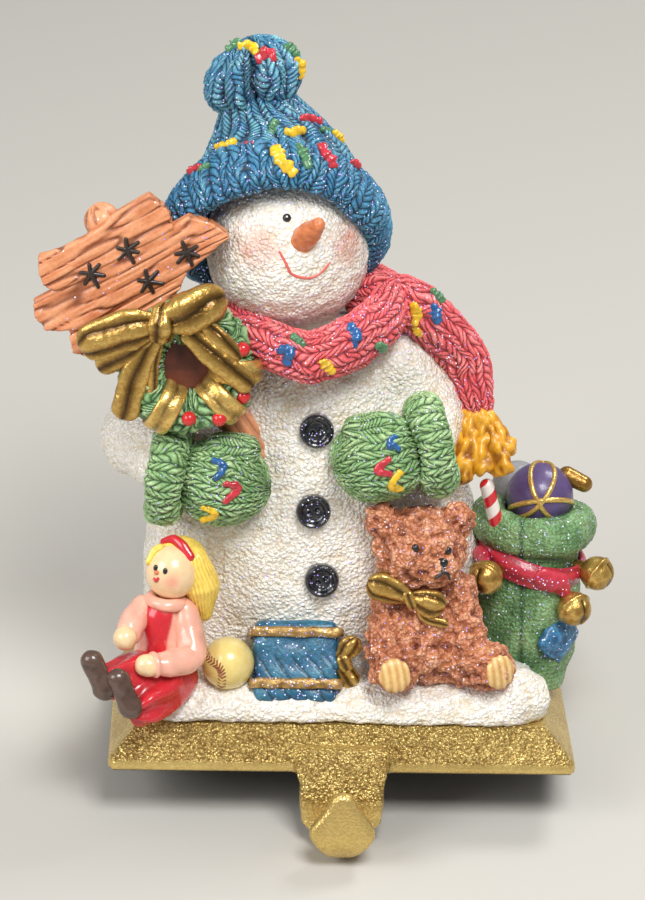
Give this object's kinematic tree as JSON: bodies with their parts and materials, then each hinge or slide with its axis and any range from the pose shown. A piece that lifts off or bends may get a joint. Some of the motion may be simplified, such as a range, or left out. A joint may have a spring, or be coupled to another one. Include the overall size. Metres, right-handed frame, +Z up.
{
  "type": "mantel stocking holder",
  "caption": "Stocking holder for a mantel: a bevelled gold iron plate with a hook at its front edge carries a painted snowman with a sign, wreath, doll, gift, bear and sack.",
  "frame": {"origin": "centre of the plate's flat underside", "axes": "+Z up from the mantel, -Y to the front where the hook hangs over the mantel's edge, +X to the viewer's right"},
  "size_m": [0.1505, 0.0935, 0.2005],
  "materials": {
    "gold_paint": "pebbled sand casting under gold paint, worn smooth at the hook's tip",
    "painted_resin": "cast resin painted by hand in many colours, with fine glitter",
    "screw_steel": "plain zinc"
  },
  "bodies": {
    "root": {"hook_base": "gold_paint", "figurine": "painted_resin", "fixing_screws": "screw_steel"}
  },
  "joints": []
}
